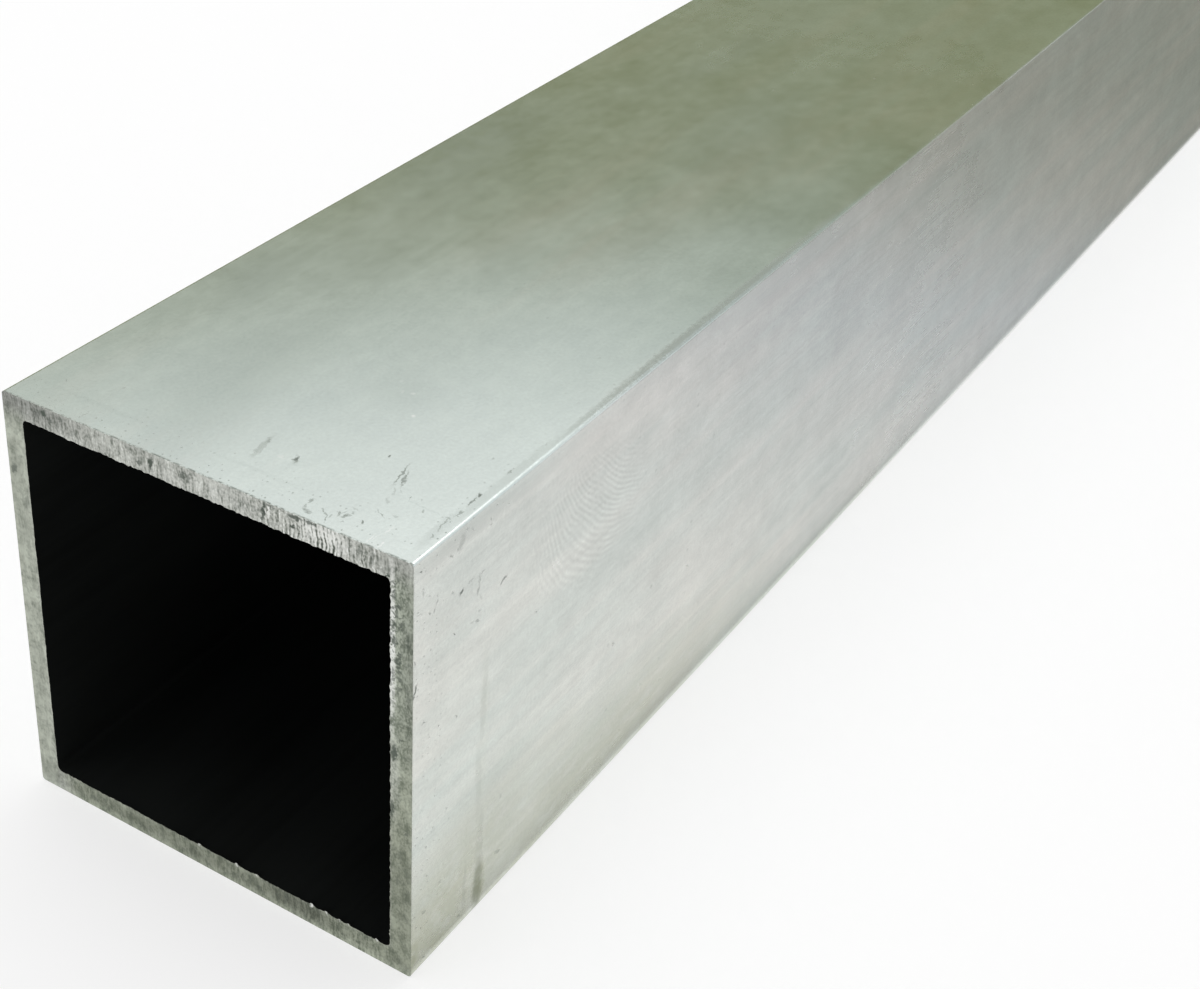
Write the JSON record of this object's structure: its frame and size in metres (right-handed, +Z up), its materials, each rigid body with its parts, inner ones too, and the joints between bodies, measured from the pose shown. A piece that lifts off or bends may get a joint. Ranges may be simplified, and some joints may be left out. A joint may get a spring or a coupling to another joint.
{
  "type": "square tube",
  "caption": "Square hollow aluminium tube, extruded with a mill finish, thin walled and open at both sawn ends, for frames, posts and brackets.",
  "frame": {"origin": "centre of the face that the tube lies on, at mid length", "axes": "+X along the tube, +Z up; the tube is the same about its XZ and XY mid planes"},
  "size_m": [0.5, 0.04, 0.04],
  "materials": {
    "mill_aluminium": "mill finish as extruded: satin, with fine die lines along the tube, handling marks, and saw marks on the cut ends"
  },
  "bodies": {
    "root": {"square_tube": "mill_aluminium"}
  },
  "joints": []
}
